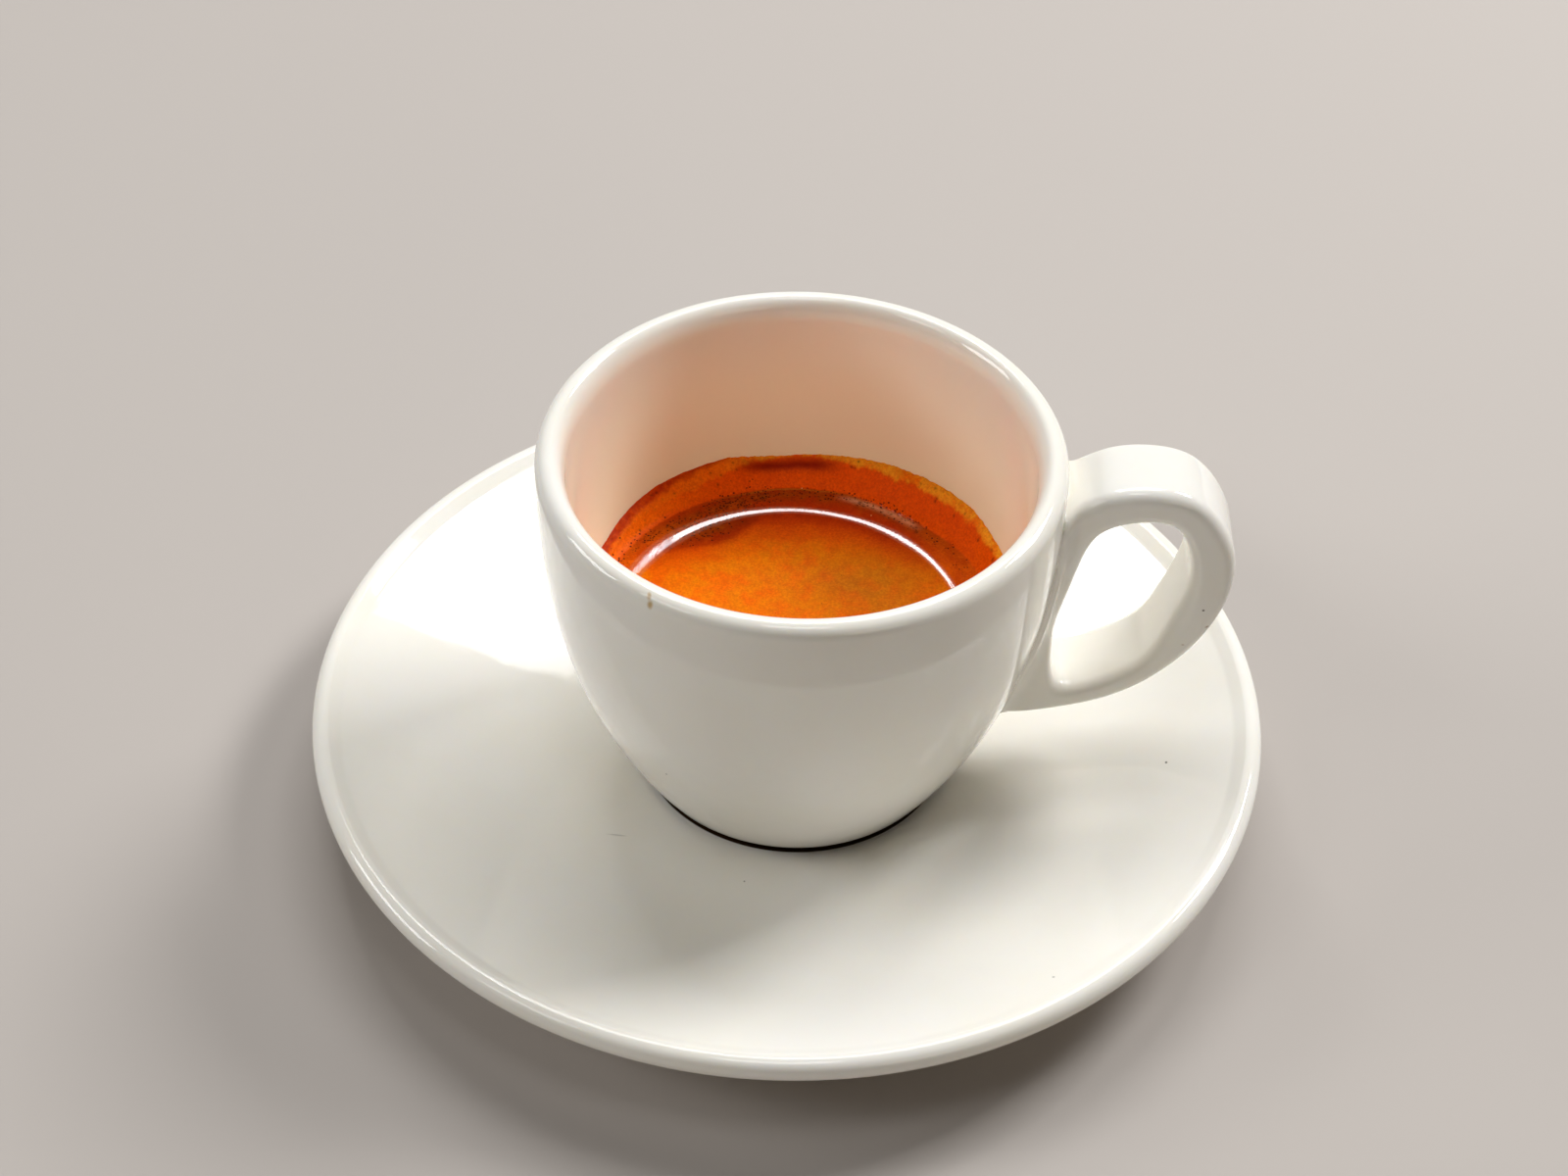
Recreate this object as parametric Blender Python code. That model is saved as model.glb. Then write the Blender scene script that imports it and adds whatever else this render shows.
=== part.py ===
"""An espresso in a thick porcelain cup, on its saucer.

Metres, +Z up. The origin is the middle of the saucer's foot ring, on the table, and the cup's
handle points along +X. The pieces are the saucer, the cup with its handle, the coffee and the
crema that floats on it.
"""

import math

import bmesh
import bpy
import numpy as np

# Saucer: a shallow dish with a rolled edge, on a foot ring
SAUCER_RADIUS = 0.0600
SAUCER_EDGE_ROUND = 0.0016
SAUCER_HEIGHT = 0.0143
SAUCER_SEAT_RADIUS = 0.0200
SAUCER_SEAT_HEIGHT = 0.0052
SAUCER_DISH_POWER = 1.55
SAUCER_EDGE_DROP = 0.55
SAUCER_EDGE_ANGLES = (120, -60)
SAUCER_WALL = 0.0036
SAUCER_FOOT_OUTER = 0.0330
SAUCER_FOOT_INNER = 0.0295
SAUCER_FOOT_HOLLOW = 0.0016
SAUCER_FOOT_ROUND = 0.0006

# Cup: a round bowl on a narrow foot, with a thick rounded lip
CUP_OFFSET_X = 0.00095
CUP_BASE = 0.0055
CUP_FOOT_RADIUS = 0.0194
CUP_FOOT_INNER = 0.0160
CUP_FOOT_HOLLOW = 0.0009
CUP_FOOT_ROUND = 0.0005
CUP_RIM_RADIUS = 0.03144
CUP_LIP_ROUND = 0.00175
CUP_LIP_CENTRE = 0.05254
CUP_LIP_ANGLES = (22.5, 180)
CUP_BOWL_POWER = 2.5
CUP_FLOOR = 0.0110
CUP_INNER_POWER = 2.5
CUP_INNER_ROOT = 3.85

# Handle: a flat ear with a teardrop hole. Each outline is (distance from the cup's axis, height)
HANDLE_HALF_WIDTH = 0.0053
HANDLE_EDGE_ROUND = 0.0017
HANDLE_EDGE_SHARE = 0.85
HANDLE_ROOT_FLARE = 0.0012
HANDLE_ROOT_REACH = 0.0022
HANDLE_ROOT_DEPTH = 0.0017
HANDLE_ROOT_HEIGHTS = (0.018, 0.024, 0.033, 0.042)
HANDLE_CENTRE = (0.0400, 0.0355)
HANDLE_OUTER = (
    (0.0295, 0.0472), (0.0372, 0.0523), (0.0461, 0.0515), (0.0514, 0.0443),
    (0.0517, 0.0355), (0.0473, 0.0261), (0.0389, 0.0190), (0.0270, 0.0158),
)
HANDLE_HOLE = (
    (0.0358, 0.0460), (0.0438, 0.0473), (0.0468, 0.0398), (0.0448, 0.0310),
    (0.0415, 0.0248), (0.0330, 0.0207), (0.0313, 0.0284), (0.0327, 0.0371),
)

# Drink: coffee up to the underside of the crema, and the crema, which climbs the wall
GAP = 0.0003
CREMA_LEVEL = 0.0281
CREMA_THICKNESS = 0.0030
CREMA_STEP_RISE = 0.00028
CREMA_STEP_FROM = 0.0184
CREMA_STEP_TO = 0.0203
CREMA_BANK_RISE = 0.0029
CREMA_BANK_FROM = 0.0215
CREMA_BANK_TO = 0.0263
CREMA_EDGE_ROUND = 0.0007
CREMA_FLAT_RINGS = (0.0060, 0.0120, 0.0165)
# Each wave of the crema's edge: its count round the cup, its height and where it peaks, in degrees
CREMA_WAVES = ((1, 0.00050, 45.0), (5, 0.00040, 127.0))

# Counts of points, and how much closer together heights lie near the bottom of a curved wall
BODY_STEPS = 64
SAUCER_STEPS = 72
DRINK_STEPS = 48
SAUCER_DISH_POINTS = 9
SAUCER_EDGE_POINTS = 7
SAUCER_UNDER_POINTS = 5
CUP_WALL_POINTS = 13
CUP_LIP_POINTS = 8
COFFEE_WALL_POINTS = 9
CREMA_STEP_RINGS = 4
CREMA_BANK_RINGS = 6
OUTSIDE_CROWDING = 1.25
CAVITY_CROWDING = 2.2
COFFEE_CROWDING = 1.8
HANDLE_STATIONS = 48
HANDLE_CORNER_POINTS = 4
HANDLE_CURVE_POINTS = 600
MERGE = 0.00001
SHARP_ANGLE = math.radians(40)


def clear_scene():
    for thing in list(bpy.data.objects):
        bpy.data.objects.remove(thing)


def material(name, colour, roughness, coat=0.0):
    made = bpy.data.materials.new(name)
    made.use_nodes = True
    surface = made.node_tree.nodes["Principled BSDF"]
    surface.inputs["Base Color"].default_value = (*colour, 1.0)
    surface.inputs["Roughness"].default_value = roughness
    surface.inputs["Metallic"].default_value = 0.0
    surface.inputs["Coat Weight"].default_value = coat
    return made


def object_from(shape, name, surface, offset_x=0.0):
    """Puts a finished bmesh into the scene as a smooth-shaded object."""
    mesh = bpy.data.meshes.new(name)
    shape.to_mesh(mesh)
    shape.free()
    mesh.shade_smooth()
    mesh.set_sharp_from_angle(angle=SHARP_ANGLE)
    mesh.materials.append(surface)
    made = bpy.data.objects.new(name, mesh)
    made.location.x = offset_x
    bpy.context.scene.collection.objects.link(made)
    return made


def turned(outline, steps):
    """A closed solid turned about the Z axis. The outline runs from axis to axis as (radius, height)."""
    shape = bmesh.new()
    points = [shape.verts.new((radius, 0.0, height)) for radius, height in outline]
    edges = [shape.edges.new(pair) for pair in zip(points, points[1:])]
    bmesh.ops.spin(
        shape, geom=points + edges, cent=(0, 0, 0), axis=(0, 0, 1),
        angle=2 * math.pi, steps=steps, use_merge=True,
    )
    bmesh.ops.remove_doubles(shape, verts=shape.verts, dist=MERGE)
    bmesh.ops.recalc_face_normals(shape, faces=shape.faces)
    return shape


def arc(centre, radius, start, end, count):
    """Points on a circle in the outline's plane, from one angle to another in degrees."""
    angles = np.radians(np.linspace(start, end, count))
    return [(centre[0] + radius * math.cos(a), centre[1] + radius * math.sin(a)) for a in angles]


def smooth_step(value, start, end):
    """0 below start, 1 above end, and an S curve between them."""
    share = np.clip((value - start) / (end - start), 0.0, 1.0)
    return share * share * (3 - 2 * share)


def saucer_top(radius):
    """Height of the dish: flat under the cup, then rising ever more steeply to the edge."""
    reach = SAUCER_RADIUS - 2 * SAUCER_EDGE_ROUND - SAUCER_SEAT_RADIUS
    rise = SAUCER_HEIGHT - SAUCER_EDGE_ROUND * SAUCER_EDGE_DROP - SAUCER_SEAT_HEIGHT
    share = max(radius - SAUCER_SEAT_RADIUS, 0.0) / reach
    return SAUCER_SEAT_HEIGHT + rise * share**SAUCER_DISH_POWER


def saucer_outline():
    rim = SAUCER_RADIUS - 2 * SAUCER_EDGE_ROUND
    dish = np.linspace(SAUCER_SEAT_RADIUS, rim, SAUCER_DISH_POINTS)
    top = [(0.0, SAUCER_SEAT_HEIGHT)] + [(r, saucer_top(r)) for r in dish]
    edge_centre = (SAUCER_RADIUS - SAUCER_EDGE_ROUND, SAUCER_HEIGHT - SAUCER_EDGE_ROUND)
    edge = arc(edge_centre, SAUCER_EDGE_ROUND, *SAUCER_EDGE_ANGLES, SAUCER_EDGE_POINTS)
    under = [
        (r, saucer_top(r) - SAUCER_WALL)
        for r in np.linspace(dish[-2], SAUCER_FOOT_OUTER + SAUCER_FOOT_ROUND, SAUCER_UNDER_POINTS)
    ]
    inset = SAUCER_FOOT_ROUND
    foot = [
        (SAUCER_FOOT_OUTER, inset),
        (SAUCER_FOOT_OUTER - inset, 0.0),
        (SAUCER_FOOT_INNER + inset, 0.0),
        (SAUCER_FOOT_INNER, inset),
        (SAUCER_FOOT_INNER - inset, SAUCER_FOOT_HOLLOW),
    ]
    return top + edge + under + foot + [(0.0, SAUCER_FOOT_HOLLOW)]


def cup_radius(height):
    """Outside radius of the bowl: it leaves the foot steeply and is almost upright below the lip."""
    share = (height - CUP_BASE) / (CUP_LIP_CENTRE - CUP_BASE)
    bulge = 1 - (1 - share) ** CUP_BOWL_POWER
    return CUP_FOOT_RADIUS + (CUP_RIM_RADIUS - CUP_FOOT_RADIUS) * bulge


def cavity_radius(height):
    """Inside radius: a bowl with a round bottom and nearly upright walls."""
    share = max(height - CUP_FLOOR, 0.0) / (CUP_LIP_CENTRE - CUP_FLOOR)
    bulge = 1 - (1 - share) ** CUP_INNER_POWER
    return (CUP_RIM_RADIUS - 2 * CUP_LIP_ROUND) * bulge ** (1 / CUP_INNER_ROOT)


def spaced_heights(low, high, count, crowding):
    """Heights from low to high, closer together near the low end where the wall curves most."""
    return low + (high - low) * np.linspace(0, 1, count) ** crowding


def cup_outline():
    foot = [
        (0.0, CUP_BASE + CUP_FOOT_HOLLOW),
        (CUP_FOOT_INNER - CUP_FOOT_HOLLOW, CUP_BASE + CUP_FOOT_HOLLOW),
        (CUP_FOOT_INNER, CUP_BASE),
        (CUP_FOOT_RADIUS - CUP_FOOT_ROUND, CUP_BASE),
    ]
    low = CUP_BASE + CUP_FOOT_ROUND / 2
    heights = spaced_heights(low, CUP_LIP_CENTRE, CUP_WALL_POINTS, OUTSIDE_CROWDING)
    outside = [(cup_radius(z), z) for z in heights]
    lip_centre = (CUP_RIM_RADIUS - CUP_LIP_ROUND, CUP_LIP_CENTRE)
    lip = arc(lip_centre, CUP_LIP_ROUND, *CUP_LIP_ANGLES, CUP_LIP_POINTS)
    heights = spaced_heights(CUP_FLOOR, CUP_LIP_CENTRE, CUP_WALL_POINTS, CAVITY_CROWDING)
    inside = [(cavity_radius(z), z) for z in heights[-2::-1]]
    return foot + outside + lip + inside


def closed_curve(points, count):
    """A smooth closed curve through the points, as count samples (Catmull-Rom)."""
    knots = np.array(points)
    before, after, beyond = (np.roll(knots, shift, axis=0) for shift in (1, -1, -2))
    samples = []
    for t in np.linspace(0, 1, count // len(knots), endpoint=False):
        samples.append(
            0.5 * (
                2 * knots + (after - before) * t
                + (2 * before - 5 * knots + 4 * after - beyond) * t**2
                + (3 * knots - before - 3 * after + beyond) * t**3
            )
        )
    return np.stack(samples, axis=1).reshape(-1, 2)


def reach_from_centre(points, angles):
    """How far the closed curve through the points lies from the handle's centre at each angle."""
    curve = closed_curve(points, HANDLE_CURVE_POINTS) - np.array(HANDLE_CENTRE)
    bearing = np.arctan2(curve[:, 1], curve[:, 0])
    order = np.argsort(bearing)
    return np.interp(angles, bearing[order], np.hypot(*curve[order].T), period=2 * math.pi)


def handle_section(half_depth, half_width):
    """A rectangle with rounded corners, as (outwards, sideways) offsets from its middle."""
    radius = min(HANDLE_EDGE_ROUND, HANDLE_EDGE_SHARE * half_depth)
    section = []
    for quarter in range(4):
        turn = math.radians(90 * quarter + 45)
        centre = (
            math.copysign(half_depth - radius, math.cos(turn)),
            math.copysign(half_width - radius, math.sin(turn)),
        )
        section += arc(centre, radius, 90 * quarter, 90 * quarter + 90, HANDLE_CORNER_POINTS)
    return section


def handle_shape():
    """The ear as a closed ring of rounded sections. Its cup side is buried in the wall."""
    root = [(cup_radius(z) - HANDLE_ROOT_DEPTH, z) for z in HANDLE_ROOT_HEIGHTS]
    angles = np.linspace(-math.pi, math.pi, HANDLE_STATIONS, endpoint=False)
    outer = reach_from_centre(list(HANDLE_OUTER) + root, angles)
    inner = reach_from_centre(HANDLE_HOLE, angles)
    shape = bmesh.new()
    rings = []
    for angle, near, far in zip(angles, inner, outer):
        middle, half = (near + far) / 2, (far - near) / 2
        height = HANDLE_CENTRE[1] + middle * math.sin(angle)
        clear = HANDLE_CENTRE[0] + middle * math.cos(angle) - cup_radius(height)
        flare = HANDLE_ROOT_FLARE * math.exp(-max(clear, 0.0) / HANDLE_ROOT_REACH)
        ring = []
        for out, side in handle_section(half, HANDLE_HALF_WIDTH + flare):
            reach = middle + out
            ring.append(
                shape.verts.new((
                    HANDLE_CENTRE[0] + reach * math.cos(angle),
                    side,
                    HANDLE_CENTRE[1] + reach * math.sin(angle),
                ))
            )
        rings.append(ring)
    for ring, following in zip(rings, rings[1:] + rings[:1]):
        for i, point in enumerate(ring):
            j = (i + 1) % len(ring)
            shape.faces.new((point, ring[j], following[j], following[i]))
    bmesh.ops.recalc_face_normals(shape, faces=shape.faces)
    return shape


def crema_rise(radius, bearing):
    """How far the crema stands above its flat middle at a radius and a bearing round the cup."""
    step = CREMA_STEP_RISE * smooth_step(radius, CREMA_STEP_FROM, CREMA_STEP_TO)
    climb = CREMA_BANK_RISE
    for count, height, peak in CREMA_WAVES:
        climb += height * math.cos(count * (bearing - math.radians(peak)))
    return step + climb * smooth_step(radius, CREMA_BANK_FROM, CREMA_BANK_TO)


def coffee_outline():
    top = CREMA_LEVEL - CREMA_THICKNESS - GAP
    bottom = CUP_FLOOR + GAP
    heights = spaced_heights(bottom, top, COFFEE_WALL_POINTS, COFFEE_CROWDING)
    side = [(cavity_radius(z - GAP) - GAP, z) for z in heights[1:]]
    return [(0.0, bottom)] + side + [(0.0, top)]


def crema_shape():
    """A turned disc whose top is then raised to the crema's uneven bank along the wall."""
    low = CREMA_LEVEL - CREMA_THICKNESS
    flat = CREMA_LEVEL + CREMA_EDGE_ROUND
    edge = cavity_radius(flat) - GAP
    rings = [*CREMA_FLAT_RINGS, *np.linspace(CREMA_STEP_FROM, CREMA_STEP_TO, CREMA_STEP_RINGS)]
    rings += [*np.linspace(CREMA_BANK_FROM, edge - CREMA_EDGE_ROUND, CREMA_BANK_RINGS), edge]
    outline = [(0.0, low), (cavity_radius(low) - GAP, low)]
    outline += [(radius, flat) for radius in reversed(rings)] + [(0.0, flat)]
    shape = turned(outline, DRINK_STEPS)
    for point in shape.verts:
        if point.co.z > CREMA_LEVEL:
            radius = math.hypot(point.co.x, point.co.y)
            rise = crema_rise(radius, math.atan2(point.co.y, point.co.x))
            height = CREMA_LEVEL + rise
            if radius > edge - MERGE:
                height -= CREMA_EDGE_ROUND / 2
                point.co.xy *= (cavity_radius(height) - GAP) / radius
            point.co.z = height
    return shape


def build():
    clear_scene()
    porcelain = material("glazed_porcelain", (0.86, 0.84, 0.80), 0.12, coat=0.6)
    saucer_glaze = material("saucer_porcelain", (0.86, 0.84, 0.80), 0.12, coat=0.6)
    brown = material("coffee_liquid", (0.045, 0.016, 0.006), 0.08)
    foam = material("crema_foam", (0.62, 0.20, 0.02), 0.35)
    object_from(turned(saucer_outline(), SAUCER_STEPS), "saucer", saucer_glaze)
    cup = object_from(turned(cup_outline(), BODY_STEPS), "cup", porcelain, CUP_OFFSET_X)
    handle = object_from(handle_shape(), "handle_form", porcelain, CUP_OFFSET_X)
    handle.hide_render = True
    handle.display_type = "WIRE"
    joined = cup.modifiers.new("handle", "BOOLEAN")
    joined.operation = "UNION"
    joined.solver = "EXACT"
    joined.object = handle
    object_from(turned(coffee_outline(), DRINK_STEPS), "coffee", brown, CUP_OFFSET_X)
    object_from(crema_shape(), "crema", foam, CUP_OFFSET_X)


build()
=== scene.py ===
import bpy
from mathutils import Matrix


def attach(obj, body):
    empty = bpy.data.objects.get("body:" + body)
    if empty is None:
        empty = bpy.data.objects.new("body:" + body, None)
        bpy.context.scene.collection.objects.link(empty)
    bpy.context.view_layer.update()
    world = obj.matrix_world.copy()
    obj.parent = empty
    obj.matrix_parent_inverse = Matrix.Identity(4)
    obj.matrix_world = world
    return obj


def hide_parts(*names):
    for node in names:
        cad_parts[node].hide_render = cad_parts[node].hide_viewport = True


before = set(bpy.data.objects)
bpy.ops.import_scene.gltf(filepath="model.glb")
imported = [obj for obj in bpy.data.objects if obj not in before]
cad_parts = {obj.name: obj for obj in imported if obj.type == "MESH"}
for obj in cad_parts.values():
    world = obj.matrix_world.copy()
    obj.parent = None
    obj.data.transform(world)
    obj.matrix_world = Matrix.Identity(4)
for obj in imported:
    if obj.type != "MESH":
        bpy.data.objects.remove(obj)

"""Looks of an espresso in a thick porcelain cup, on its saucer.

Metres, +Z up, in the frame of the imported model: the origin is the middle of the saucer's foot ring
and the handle points along +X. The saucer, the cup and the crema are remade here as fine smooth
meshes of the same form. The coffee keeps its own solid and gets a material.
"""

import math

import bmesh
import bpy
import numpy as np
from mathutils import Matrix, Vector, noise

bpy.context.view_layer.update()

# Saucer, with the values of its solid
SAUCER_RADIUS = 0.0600
SAUCER_EDGE_ROUND = 0.0016
SAUCER_HEIGHT = 0.0143
SAUCER_SEAT_RADIUS = 0.0200
SAUCER_SEAT_HEIGHT = 0.0052
SAUCER_DISH_POWER = 1.55
SAUCER_EDGE_DROP = 0.55
SAUCER_EDGE_ANGLES = (112, -60)
SAUCER_WALL = 0.0036
SAUCER_UNDER_RADIUS = 0.0522
SAUCER_FOOT_OUTER = 0.0330
SAUCER_FOOT_INNER = 0.0295
SAUCER_FOOT_HOLLOW = 0.0016
SAUCER_FOOT_ROUND = 0.0006

# Cup, with the values of its solid
CUP_OFFSET_X = 0.00095
CUP_BASE = 0.0055
CUP_FOOT_RADIUS = 0.0194
CUP_FOOT_INNER = 0.0160
CUP_FOOT_HOLLOW = 0.0009
CUP_FOOT_ROUND = 0.0005
CUP_RIM_RADIUS = 0.03144
CUP_LIP_ROUND = 0.00175
CUP_LIP_CENTRE = 0.05254
CUP_LIP_INNER_DEPTH = 0.0034
CUP_BOWL_POWER = 2.5
CUP_FLOOR = 0.0110
CUP_INNER_POWER = 2.5
CUP_INNER_ROOT = 3.85
CUP_INNER_CROWDING = 2.6
# Painted shadow, a dark line round the foot: its width on the saucer, and where it fades on the cup, in
# foot roundings
SEAT_SHADOW_WIDTH = 0.0003
FOOT_SHADOW_FADE = (2.3, 1.7)

# Handle, with the outlines of its solid as (distance from the cup's axis, height)
HANDLE_HALF_WIDTH = 0.0053
HANDLE_EDGE_ROUND = 0.0017
HANDLE_EDGE_SHARE = 0.85
HANDLE_FILLET = 0.0018
HANDLE_FILLET_END = 0.94
HANDLE_ROOT_DEPTH = 0.0017
HANDLE_ROOT_HEIGHTS = (0.018, 0.024, 0.033, 0.042)
HANDLE_CENTRE = (0.0400, 0.0355)
HANDLE_OUTER = (
    (0.0295, 0.0472), (0.0372, 0.0523), (0.0461, 0.0515), (0.0514, 0.0443),
    (0.0517, 0.0355), (0.0473, 0.0261), (0.0389, 0.0190), (0.0270, 0.0158),
)
HANDLE_HOLE = (
    (0.0358, 0.0460), (0.0438, 0.0473), (0.0468, 0.0398), (0.0448, 0.0310),
    (0.0415, 0.0248), (0.0330, 0.0207), (0.0313, 0.0284), (0.0327, 0.0371),
)

# Crema: a flat pool inside a low step, then a dark band, then a bank that climbs the wall
CREMA_LEVEL = 0.0281
CREMA_THICKNESS = 0.0030
CREMA_INTO_WALL = 0.00025
POOL_CENTRE = (-0.0008, -0.00305)
POOL_RADIUS = 0.02158
# Shape of the step round the pool: (bearing in degrees, width) and its steepest slope
STEP_WIDTHS = (
    (-120, 0.0013), (20, 0.0009), (34, 0.0010), (50, 0.0014), (66, 0.0011), (90, 0.0010),
    (115, 0.0013), (140, 0.0020), (152, 0.0020), (175, 0.0016),
)
STEP_SLOPE = 0.285
STEP_END_SLOPE = 0.275
# Wobble of the bank's edge: its height, the radius it is read at, and its features in millimetres
BANK_WOBBLE = 0.00010
BANK_WOBBLE_RADIUS = 0.027
BANK_WOBBLE_SIZE = 2.2
# Heights of the fine relief
POOL_SWELL = 0.000025
BAND_LUMPS = 0.00004
BANK_SWELL = 0.00004
FROTH_LUMPS = 0.00012
FOLD_DEPTH = 0.00024
PIT_DEPTH = 0.00010
# Where the bank starts to climb: (bearing in degrees, distance from the cup's axis)
BANK_FOOT = (
    (-150, 0.0228), (-30, 0.0232), (20, 0.0236), (41, 0.0224), (55, 0.0217), (75, 0.0222),
    (90, 0.0225), (108, 0.0224), (130, 0.0228), (150, 0.0233), (170, 0.0236), (195, 0.0230),
)
# How far up the bank its parts start, as shares of its width: (bearing in degrees, share)
FROTH_FROM = (
    (-150, 0.50), (-60, 0.55), (15, 0.66), (60, 0.68), (76, 0.72), (84, 0.88), (100, 0.89),
    (108, 0.66), (118, 0.46), (135, 0.42), (155, 0.46), (180, 0.50),
)
DARK_EDGE_FROM = (
    (-150, 1.2), (104, 1.2), (112, 0.97), (119, 0.82), (127, 0.72), (141, 0.60), (155, 0.54),
    (180, 0.60), (205, 1.2),
)
# How far a dark tongue reaches from the step into the pool: (bearing in degrees, distance)
TONGUE_REACH = (
    (-180, 0.0), (97, 0.0), (104, 0.0006), (108, 0.0016), (116, 0.0033), (121, 0.0042),
    (128, 0.0044), (135, 0.0042), (141, 0.0031), (147, 0.0016), (153, 0.0004), (158, 0.0),
)
# Middle of the belt of fine bubbles outside the step: (bearing in degrees, distance from the axis)
BUBBLE_BELT = (
    (-150, 0.0225), (-30, 0.0225), (28, 0.0224), (50, 0.0215), (70, 0.0217), (94, 0.0215),
    (110, 0.0213), (125, 0.0209), (138, 0.0214), (146, 0.0225), (156, 0.0239), (180, 0.0240),
)
# Where the crema meets the wall: (bearing in degrees, height)
BANK_EDGE = (
    (-150, 0.0309), (-100, 0.0312), (-50, 0.0310), (-10, 0.0312), (22, 0.0315), (34, 0.0321),
    (50, 0.0319), (64, 0.0317), (78, 0.0313), (91, 0.0309), (100, 0.0308), (110, 0.0314),
    (126, 0.0315), (144, 0.0312), (158, 0.0301), (178, 0.0303),
)

# Noise fields on the crema: name, size of features in millimetres, seed and detail
CREMA_NOISE = (("slow", 5.0, 2, 2), ("middling", 1.6, 3, 3), ("lumps", 0.55, 4, 3))

# Open bubbles: their seed, how their sizes vary, their distance from the step, and how many of the
# grid's columns each reaches on both sides
PIT_SEED = 11
PIT_SIZES = (0.6, 1.25)
PIT_CLEAR_OF_STEP = (0.0008, 0.0013)
PIT_COLUMNS = 5
# Belts of open bubbles: count, nearest and farthest radius, bearings in degrees, bubble radius
PIT_BELTS = (
    (40, 0.0192, 0.0226, 100, 150, 0.00014),
    (26, 0.0208, 0.0222, 44, 76, 0.00015),
    (16, 0.0215, 0.0245, 143, 160, 0.00012),
    (16, 0.0248, 0.0262, 15, 80, 0.00012),
    (12, 0.0242, 0.0262, 108, 160, 0.00012),
    (200, 0.0225, 0.0262, -150, 0, 0.00015),
)

# Stretches of bearing, in degrees: where each starts, is full, begins to fade and ends
FOLD_STRETCH = (76, 86, 104, 112)
PATCH_STRETCH = (43, 52, 70, 80)
DEEP_STRETCH = (15, 50, 140, 165)
WARM_STRETCH = (105, 150, 200, 260)
# Bearings where something is strongest, and how far it spreads, in degrees
BELT_WIDE_AT = (112, 24)
BELT_CLOSE_AT = (116, 24)
BELT_BESIDE_AT = (60, 14)
TONGUE_OLIVE_AT = (128, 12)
TONGUE_BUBBLES_AT = (130, 12)
TAN_LINE_AT = (94, 24)
SPARKLE_AT = (68, 24)
HATCH_AT = (38, 12)
# Fades by bearing, in degrees: where each starts and is full
LEFT_FADE = (100, 120)
LEFT_END_FADE = (138, 150)
RIM_STOP_FADE = (118, 140)
# The same by degrees away from the far side, whose bearing is given last
STEP_END_FADE = (35, 60)
SIDES_FADE = (42, 70)
SIDES_FROM = 92
# Fades by distance outwards from the middle of the step
DEEP_FADE = (-0.0090, -0.0015)
RED_FADE = (-0.0036, -0.0004)
TONGUE_FADE = (-0.0005, 0.0012)
TONGUE_STOP_FADE = (0, 0.0004)
BAND_FADE = (-0.0002, 0.0005)
BAND_LUMPS_FADE = (0.0010, 0.0018)
DRY_FADE = (0.0010, 0.0020)
# Fades by share of the bank's width, and of the step's
FROTH_FADE = (-0.05, 0.06)
DARK_EDGE_FADE = (-0.08, 0.16)
RING_FADE = (0.0, 0.10)
RIM_FADE = (0.955, 0.985)
WET_FADE = (0.40, 0.62)
# Where in the bank its streaks, its fold and its glints lie, and how far they spread
RING_STREAKS = (0.30, 0.16)
FOLD_PLACE = 0.68
FOLD_SPREAD = 0.15
GLINT_PLACE = (0.35, 0.22)
# Half widths of the thin bands along the crema
BELT_HALF = 0.0014
BUBBLES_HALF = 0.0006
BUBBLES_EXTRA = 0.0005
BESIDE_BELT = (0.0008, 0.0003)
PATCH_HALF = 0.00050
TAN_LINE_HALF = 0.00015
TONGUE_OLIVE_IN = (-0.0012, 0.0012)
TONGUE_BUBBLES_IN = (-0.0012, 0.0013)
# A golden cloud in the pool: its middle and its spread
CLOUD_AT = (0.0092, 0.0058)
CLOUD_SPREAD = (0.0062, 0.0050)

# Colours as 0 to 255 on a screen
POOL_ORANGE = (228, 104, 0)
POOL_GOLD = (220, 124, 0)
DEEP_ORANGE = (210, 74, 0)
DEEP_RED = (180, 48, 0)
OLIVE_GOLD = (196, 112, 4)
TONGUE = (158, 40, 0)
TONGUE_OLIVE = (150, 62, 4)
BAND_RED = (190, 52, 0)
BAND_DARK = (170, 72, 6)
BAND_WARM = (216, 90, 2)
RING_RED = (240, 88, 0)
RING_ORANGE = (252, 110, 0)
TAN_LINE = (200, 110, 30)
FROTH_GOLD = (255, 166, 36)
# Brown of the froth's hollows: its own mottling, partly painted shade
FROTH_BROWN_AND_SHADE = (250, 112, 6)
FROTH_LEFT = (250, 118, 8)
EDGE_RED = (188, 50, 0)
# Painted shade in the fold on the bank's far side
FOLD_PAINTED_SHADE = (144, 28, 0)
# Painted highlight on a patch of the band
PATCH_PAINTED_HIGHLIGHT = (226, 146, 104)
SPARKLE = (255, 200, 130)
BUBBLE_DARK = (60, 14, 0)
GLAZE_WHITE = (250, 247, 240)
GLAZE_WARM = (248, 244, 234)
GLAZE_SHADE = (240, 235, 224)
# Painted warm glow on the cup's inner wall, for the light that the crema throws back
GLAZE_PAINTED_GLOW = (255, 248, 218)
# Painted contact shadow where the cup's foot stands on the saucer
FOOT_SHADOW_PAINT = (48, 30, 8)
DRIP_TAN = (205, 172, 110)
SPECK_DARK = (52, 46, 34)
SPECK_GREY = (120, 116, 102)
SPECK_BROWN = (166, 122, 86)
COFFEE_DARK = (44, 18, 8)
COFFEE_BROWN = (66, 30, 12)
FLOOR_TONE = (188, 181, 175)

# Tints that the foam's grain and clouds multiply its colour by, from dark to light
GRAIN_TINTS = ((0.72, 0.58, 0.4), (1.18, 1.26, 1.2))
CLOUD_TINTS = ((0.88, 0.72, 0.5), (1.08, 1.18, 1.2))
# Dots in the foam: how far apart they lie and their radius
FINE_BUBBLES = (0.00034, 0.00016)
PALE_BUBBLES = (0.00055, 0.00014)
SPECKS = (0.0019, 0.00010)
GLINTS = (0.0010, 0.00010)

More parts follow.
